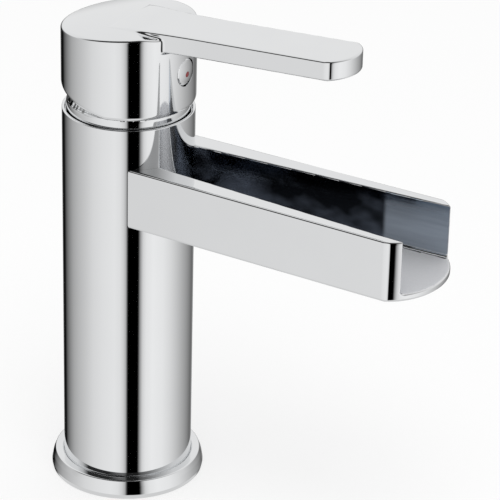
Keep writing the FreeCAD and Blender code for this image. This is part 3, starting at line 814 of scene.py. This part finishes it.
class FAUCET_OT_foot_ring(bpy.types.Operator):
    """Adds the round foot ring"""
    bl_idname = "faucet.foot_ring"
    bl_label = "Foot Ring"
    bl_options = {"REGISTER", "UNDO"}

    def execute(self, context):
        bore = BODY_HIGH.x + JOINT_GAP
        widest, top = FLANGE_HIGH.x, FLANGE_HIGH.z
        underside = [
            (bore, 0, INSIDE_EDGE), (GROOVE_INNER, 0, 0.1), (GROOVE_INNER, GROOVE_DEPTH, 0.1),
            (GROOVE_OUTER, GROOVE_DEPTH, 0.1), (GROOVE_OUTER, 0, 0.1), (widest - 0.35, 0, 0.25),
        ]
        shoulder = [
            (widest, 1.8, 1.2), (widest - 0.5, 4.6, 2.5), (26.05, top, 0.5), (bore + 0.5, top, 0.3),
            (bore, top - 0.5, 0.2),
        ]
        foot = turned("foot_ring", underside + shoulder, "turned_chrome")
        finish_piece(foot, "faucet_body", "base_flange")
        return {"FINISHED"}


class FAUCET_OT_dome(bpy.types.Operator):
    """Adds the domed cover ring between body and handle"""
    bl_idname = "faucet.dome"
    bl_label = "Trim Dome"
    bl_options = {"REGISTER", "UNDO"}

    def execute(self, context):
        low, high, skirt = DOME_LOW.z, DOME_HIGH.z, DOME_HIGH.x
        outside = [
            (skirt, low, 0.2), (skirt, 143.6, 2.0), (20.2, 147.2, 4.0), (17.4, high, 3.0),
            (DOME_NECK, high, 0.3),
        ]
        inner, roof = skirt - DOME_WALL, high - DOME_WALL
        inside = [
            (DOME_NECK, roof, 0.3), (17.0, roof, 1.8), (19.1, 146.7, 2.8), (inner, 143.4, 1.2),
            (inner, low, 0.2),
        ]
        dome = turned("trim_dome_shell", inside[-1:] + outside + inside[:-1], "turned_chrome")
        finish_piece(dome, "faucet_body", "trim_dome")
        return {"FINISHED"}


class FAUCET_OT_spout(bpy.types.Operator):
    """Adds the open channel spout"""
    bl_idname = "faucet.spout"
    bl_label = "Spout"
    bl_options = {"REGISTER", "UNDO"}

    def execute(self, context):
        settings = context.scene.faucet_spout
        size = in_millimetres(settings)
        spout = cast("spout_channel", spout_outside(settings), body_hole, SPOUT_LOW, SPOUT_HIGH, size.cell)
        for finish in ("cast_chrome", "channel_chrome_painted_shade", "floor_chrome"):
            spout.data.materials.append(material(finish))
        floor = SPOUT_LOW.z + size.floor
        wall_top = SPOUT_HIGH.z - BUFFED_EDGE
        for face in spout.data.polygons:
            x, y, z = face.center / MM
            half = size.channel_half_width - settings.channel_flare * y
            # The channel's walls take the chrome with painted shade and painted reflection
            if abs(x) < half + FACE_SLACK and floor + size.channel_corner < z < wall_top:
                face.material_index = 1
            elif abs(x) < half - size.channel_corner and z > floor - FACE_SLACK:
                face.material_index = 2
        finish_piece(spout, "faucet_body", "spout_trough")
        return {"FINISHED"}


class FAUCET_OT_handle(bpy.types.Operator):
    """Adds the hub with its flat lever"""
    bl_idname = "faucet.handle"
    bl_label = "Handle"
    bl_options = {"REGISTER", "UNDO"}

    def execute(self, context):
        settings = context.scene.faucet_handle
        handle = cast("handle_casting", handle_outside(settings), handle_holes,
                      HANDLE_LOW, HANDLE_HIGH, settings.cell / MM)
        handle.data.materials.append(material("cast_chrome"))
        finish_piece(handle, "lever", "handle")
        return {"FINISHED"}


PLUG_STATIONS = (4.3, 3.6, 2.9, 2.2, 1.5, 0.8)  # radii where the plug's domed face is shaped
PLUG_MIDDLE = 0.05        # radius of the flat in the middle of the plug's ends
PLUG_STUB = ACCESS_RADIUS - 0.05   # radius of the stub that holds the plug in the access hole
MARK_MIDDLE = 0.001       # radius of the pinhole in the middle of the red mark
MARK_POINT = 0.0001       # rounding there


class FAUCET_OT_index(bpy.types.Operator):
    """Adds the plug over the fixing screw, and its red mark"""
    bl_idname = "faucet.index"
    bl_label = "Plug and Mark"
    bl_options = {"REGISTER", "UNDO"}

    def execute(self, context):
        radius, face, inner = PLUG_HIGH.x, -PLUG_LOW.y, -PLUG_HIGH.y
        towards_user = Matrix.Rotation(math.radians(90), 4, "X")
        at_screw = Matrix.Translation((0, 0, SCREW_HEIGHT * MM)) @ towards_user
        sphere = context.scene.faucet_turned.plug_dome / MM
        crown = [(r, face - sphere + math.sqrt(sphere ** 2 - r ** 2), 0.2) for r in PLUG_STATIONS]
        seat, shoulder = POCKET_FLOOR + JOINT_GAP, crown[0][1] - 0.35
        plug = turned("plug_cap", [
            (PLUG_MIDDLE, inner, 0.02), (PLUG_STUB, inner, 0.2), (PLUG_STUB, seat, 0.1),
            (radius, seat, INSIDE_EDGE), (radius, shoulder, INSIDE_EDGE), *crown, (PLUG_MIDDLE, face, 0.02),
        ], "plug_chrome", at_screw)
        mark_z = (DOT_LOW.z + DOT_HIGH.z) / 2
        at_mark = Matrix.Translation((0, 0, mark_z * MM)) @ towards_user
        mark_radius, mark_back = DOT_HIGH.x, face - (DOT_HIGH.y - DOT_LOW.y)
        recess_radius, recess_floor, outside = mark_radius + JOINT_GAP, mark_back - JOINT_GAP, face + 1
        recess = turned("recess_cutter", [
            (MARK_MIDDLE, recess_floor, MARK_POINT), (recess_radius, recess_floor, 0.02),
            (recess_radius, outside, 0.02), (MARK_MIDDLE, outside, MARK_POINT),
        ], "plug_chrome", at_mark)
        cut_away(plug, recess)
        finish_piece(plug, "lever", "index_plug")
        mark = turned("red_mark", [
            (MARK_MIDDLE, mark_back, MARK_POINT), (mark_radius, mark_back, 0.03),
            (mark_radius, face, 0.08), (MARK_MIDDLE, face, MARK_POINT),
        ], "enamel", at_mark)
        finish_piece(mark, "lever", "index_dot")
        return {"FINISHED"}


CARRIED_OVER = {
    "base_gasket": "rubber", "foot_block": "brass", "riser_cold": "brass", "riser_hot": "brass",
    "seat_block": "brass", "outlet_nozzle": "steel", "cartridge_base": "acetal",
    "cartridge_seals": "rubber", "cartridge_housing": "housing", "fixed_disc": "alumina",
    "cartridge_nut": "brass", "dome_ring": "rubber", "moving_disc": "alumina",
    "disc_carrier": "acetal", "cartridge_rotor": "acetal", "pivot_pin": "steel",
    "spindle": "steel", "grub_screw": "steel",
}


class FAUCET_OT_works(bpy.types.Operator):
    """Gives the hidden working pieces their finishes"""
    bl_idname = "faucet.works"
    bl_label = "Working Pieces"
    bl_options = {"REGISTER", "UNDO"}

    def execute(self, context):
        for name, finish in CARRIED_OVER.items():
            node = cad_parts[name]
            node.data.materials.clear()
            node.data.materials.append(material(finish))
        return {"FINISHED"}


# ---------------------------------------------------------------- studio

# The camera, fitted to the photograph's 500 x 500 frame
CAMERA_PLACE = (-0.73103, -0.47906, 0.51286)
CAMERA_AZIMUTH = -59.574
CAMERA_ELEVATION = 26.008
CAMERA_ROLL = 1.424
CAMERA_LENS = 198.61


def add_camera():
    """The camera at the photograph's place and angle."""
    azimuth, elevation = math.radians(CAMERA_AZIMUTH), math.radians(CAMERA_ELEVATION)
    back = Vector((math.sin(azimuth) * math.cos(elevation), -math.cos(azimuth) * math.cos(elevation),
                   math.sin(elevation)))
    right = Vector((math.cos(azimuth), math.sin(azimuth), 0))
    level = Matrix((right, back.cross(right), back)).transposed()
    turn = level @ Matrix.Rotation(math.radians(CAMERA_ROLL), 3, "Z")
    data = bpy.data.cameras.new("photo_camera")
    data.lens = CAMERA_LENS
    camera = new_object("photo_camera", data)
    camera.matrix_world = Matrix.Translation(CAMERA_PLACE) @ turn.to_4x4()
    bpy.context.scene.camera = camera


def seen_directly(tree):
    """1 for rays from the camera, from mirrors and through glass."""
    path = add_node(tree, "ShaderNodeLightPath").outputs
    first = add_node(tree, "ShaderNodeMath", {"operation": "MAXIMUM"}, {
        0: path["Is Camera Ray"], 1: path["Is Glossy Ray"]})
    both = add_node(tree, "ShaderNodeMath", {"operation": "MAXIMUM"}, {
        0: first.outputs[0], 1: path["Is Transmission Ray"]})
    return both.outputs[0]


def add_world(daylight):
    """A white background, and even daylight on matt surfaces."""
    world = bpy.data.worlds.new("white_studio")
    tree = empty_tree(world)
    white = add_node(tree, "ShaderNodeBackground", inputs={"Color": (1, 1, 1, 1), "Strength": 1.0})
    even = add_node(tree, "ShaderNodeBackground", inputs={"Color": (1, 1, 1, 1), "Strength": daylight})
    mixed = add_node(tree, "ShaderNodeMixShader", inputs={
        0: seen_directly(tree), 1: even.outputs[0], 2: white.outputs[0]})
    add_node(tree, "ShaderNodeOutputWorld", inputs={"Surface": mixed.outputs[0]})
    bpy.context.scene.world = world


FLOOR_LIFT = 0.6          # how far the floor's look is lifted towards white
FLOOR_HALF = 4.0          # half the floor's side, in metres


def add_floor(floor_colour):
    """A pale floor that keeps the shadow. The camera sees it lifted towards the white backdrop."""
    paint, tree, shader, _ = new_material("painted_floor", floor_colour, 0.0, 0.9)
    shader.inputs["Specular IOR Level"].default_value = 0.0
    lift = add_node(tree, "ShaderNodeEmission", inputs={"Color": (1, 1, 1, 1), "Strength": 1.0})
    path = add_node(tree, "ShaderNodeLightPath").outputs
    share = add_node(tree, "ShaderNodeMath", {"operation": "MULTIPLY"}, {
        0: path["Is Camera Ray"], 1: FLOOR_LIFT})
    mixed = add_node(tree, "ShaderNodeMixShader", inputs={
        0: share.outputs[0], 1: shader.outputs[0], 2: lift.outputs[0]})
    output = tree.nodes["Material Output"]
    tree.links.new(mixed.outputs[0], output.inputs["Surface"])
    mesh = bpy.data.meshes.new("floor")
    corners = [(x * FLOOR_HALF, y * FLOOR_HALF, 0) for x, y in ((-1, -1), (1, -1), (1, 1), (-1, 1))]
    mesh.from_pydata(corners, [], [(0, 1, 2, 3)])
    mesh.materials.append(paint)
    floor = new_object("floor", mesh)
    floor.visible_glossy = False


# What the tent's walls show to the chrome, by the plan angle from the camera's side, in degrees. The
# lower wall is white fabric, with a narrow slit where the camera looks in and a gap behind the faucet.
# The upper wall is dark over the slit and on the camera's left, and pale elsewhere.
LOW_WALL = [
    (-180, 0.30), (-166, 0.10), (-156, 0.0), (-146, 0.01), (-138, 0.12), (-126, 0.27), (-112, 0.44),
    (-98, 0.55), (-80, 0.67), (-64, 0.79), (-46, 0.86), (-24, 0.91), (-14, 0.86), (-8, 0.72), (-4, 0.5),
    (-1, 0.0), (18, 0.0), (21, 0.34), (26, 0.76), (32, 0.90), (44, 0.97), (64, 0.92), (80, 0.80),
    (100, 0.60), (112, 0.48), (126, 0.36), (142, 0.22), (152, 0.14), (165, 0.30), (180, 0.30),
]
HIGH_WALL = [
    (-180, 0.88), (-104, 0.86), (-89, 0.6), (-76, 0.03), (20, 0.02), (60, 0.5), (90, 0.8), (180, 0.88),
]
TABLE_LEVEL = 0.72        # the white table under the faucet, below the wall

# Heights in the tent, in metres from its middle: where the table gives way to the lower wall, and
# the lower wall to the upper one, which starts higher on the camera's side
TABLE_TOP = (-1.95, -1.75)
WALL_CHANGE = (-0.35, 0.5)
CAMERA_SIDE_RISE = 0.45   # per metre towards the camera
TENT_SPAN = (-80, 85)     # degrees of elevation that the tent covers
TENT_MIDDLE = 0.12        # height of its middle over the floor, in metres


def wall_colours(tree, angle):
    """The lower and the upper wall's grey levels, by the plan angle in radians."""
    turns = add_node(tree, "ShaderNodeMath", {"operation": "DIVIDE"}, {0: angle, 1: 2 * math.pi})
    share = add_node(tree, "ShaderNodeMath", {"operation": "ADD"}, {0: turns.outputs[0], 1: 0.5})
    for levels in (LOW_WALL, HIGH_WALL):
        ramp = add_node(tree, "ShaderNodeValToRGB", inputs={"Fac": share.outputs[0]})
        stops = ramp.color_ramp.elements
        stops.remove(stops[-1])
        for k, (degrees, level) in enumerate(levels):
            place = (degrees + 180) / 360
            stop = stops[0] if k == 0 else stops.new(place)
            stop.position = place
            stop.color = (level, level, level, 1)
        yield ramp.outputs["Color"]


def tent_material():
    """White fabric lit from outside, with the openings that chrome shows as black bands."""
    fabric = bpy.data.materials.new("tent_fabric")
    tree = empty_tree(fabric)
    coords = add_node(tree, "ShaderNodeTexCoord").outputs["Object"]
    apart = add_node(tree, "ShaderNodeSeparateXYZ", inputs={"Vector": coords}).outputs
    angle = add_node(tree, "ShaderNodeMath", {"operation": "ARCTAN2"}, {0: apart["Y"], 1: apart["X"]})
    low, high = wall_colours(tree, angle.outputs[0])
    towards_camera = add_node(tree, "ShaderNodeMath", {"operation": "MAXIMUM"}, {0: apart["X"], 1: 0.0})
    height = add_node(tree, "ShaderNodeMath", {"operation": "MULTIPLY_ADD"}, {
        0: towards_camera.outputs[0], 1: -CAMERA_SIDE_RISE, 2: apart["Z"]})
    wall = crossfade(tree, height.outputs[0], *WALL_CHANGE, low, high)
    table = (TABLE_LEVEL, TABLE_LEVEL, TABLE_LEVEL, 1.0)
    seen = crossfade(tree, apart["Z"], *TABLE_TOP, table, wall)
    light = add_node(tree, "ShaderNodeEmission", inputs={"Color": seen, "Strength": 1.0})
    add_node(tree, "ShaderNodeOutputMaterial", inputs={"Surface": light.outputs[0]})
    fabric.cycles.emission_sampling = "NONE"
    return fabric


def add_tent(radius):
    """A round tent wall, seen only by the chrome. Its seam lies straight behind the faucet."""
    segments, rings = 96, 24
    lowest, highest = (math.radians(degrees) for degrees in TENT_SPAN)
    facing_camera = math.atan2(CAMERA_PLACE[1], CAMERA_PLACE[0])
    vertices, faces = [], []
    for ring in range(rings + 1):
        rise = lowest + (highest - lowest) * ring / rings
        out, up = radius * math.cos(rise), radius * math.sin(rise)
        for k in range(segments):
            turn = 2 * math.pi * k / segments
            vertices.append((out * math.cos(turn), out * math.sin(turn), up))
    for ring in range(rings):
        for k in range(segments):
            right = (k + 1) % segments
            a, b = ring * segments, (ring + 1) * segments
            faces.append((a + k, b + k, b + right, a + right))
    mesh = bpy.data.meshes.new("light_tent")
    mesh.from_pydata(vertices, [], faces)
    mesh.materials.append(tent_material())
    tent = new_object("light_tent", mesh)
    tent.rotation_euler.z = facing_camera
    tent.location.z = TENT_MIDDLE
    tent.visible_camera = tent.visible_diffuse = False
    tent.visible_shadow = tent.visible_transmission = False


LAMP_SIZE = 1.2
LAMP_PLACE = (-0.6, -0.5, 1.8)


def add_key_lamp(power):
    """A large soft lamp above, for the floor's shadow and the matt pieces."""
    data = bpy.data.lights.new("soft_key", "AREA")
    data.shape = "DISK"
    data.size = LAMP_SIZE
    data.energy = power
    lamp = new_object("soft_key", data)
    place = Vector(LAMP_PLACE)
    lamp.matrix_world = Matrix.Translation(place) @ place.to_track_quat("Z", "Y").to_matrix().to_4x4()
    lamp.visible_glossy = False


class FAUCET_OT_studio(bpy.types.Operator):
    """Adds the floor, the light tent, the lamp and the camera"""
    bl_idname = "faucet.studio"
    bl_label = "Studio"
    bl_options = {"REGISTER", "UNDO"}

    def execute(self, context):
        studio = context.scene.faucet_studio
        add_world(studio.daylight)
        add_floor(studio.floor)
        add_tent(studio.tent_radius)
        add_key_lamp(studio.key)
        add_camera()
        context.scene.view_settings.view_transform = "Standard"
        return {"FINISHED"}


class FAUCET_PT_panel(bpy.types.Panel):
    """Lists the faucet's pieces in the 3D view's sidebar"""
    bl_idname = "FAUCET_PT_panel"
    bl_label = "Waterfall Basin Faucet"
    bl_space_type = "VIEW_3D"
    bl_region_type = "UI"
    bl_category = "Faucet"

    def draw(self, context):
        for operator in OPERATORS:
            self.layout.operator(operator.bl_idname)
        for name in SETTINGS:
            group = getattr(context.scene, name)
            box = self.layout.box()
            for prop in group.bl_rna.properties:
                if prop.identifier not in ("rna_type", "name"):
                    box.prop(group, prop.identifier)


SETTINGS = {
    "faucet_turned": TurnedSettings,
    "faucet_spout": SpoutSettings,
    "faucet_handle": HandleSettings,
    "faucet_finish": FinishSettings,
    "faucet_studio": StudioSettings,
}
OPERATORS = [
    FAUCET_OT_body, FAUCET_OT_foot_ring, FAUCET_OT_dome, FAUCET_OT_spout, FAUCET_OT_handle,
    FAUCET_OT_index, FAUCET_OT_works, FAUCET_OT_studio,
]


def register():
    for cls in [*SETTINGS.values(), *OPERATORS, FAUCET_PT_panel]:
        bpy.utils.register_class(cls)
    for name, group in SETTINGS.items():
        setattr(bpy.types.Scene, name, PointerProperty(type=group))


def unregister():
    for name in SETTINGS:
        delattr(bpy.types.Scene, name)
    for cls in [FAUCET_PT_panel, *OPERATORS, *SETTINGS.values()]:
        bpy.utils.unregister_class(cls)


def main():
    register()
    for operator in OPERATORS:
        group, name = operator.bl_idname.split(".")
        getattr(getattr(bpy.ops, group), name)()


if __name__ == "__main__":
    main()
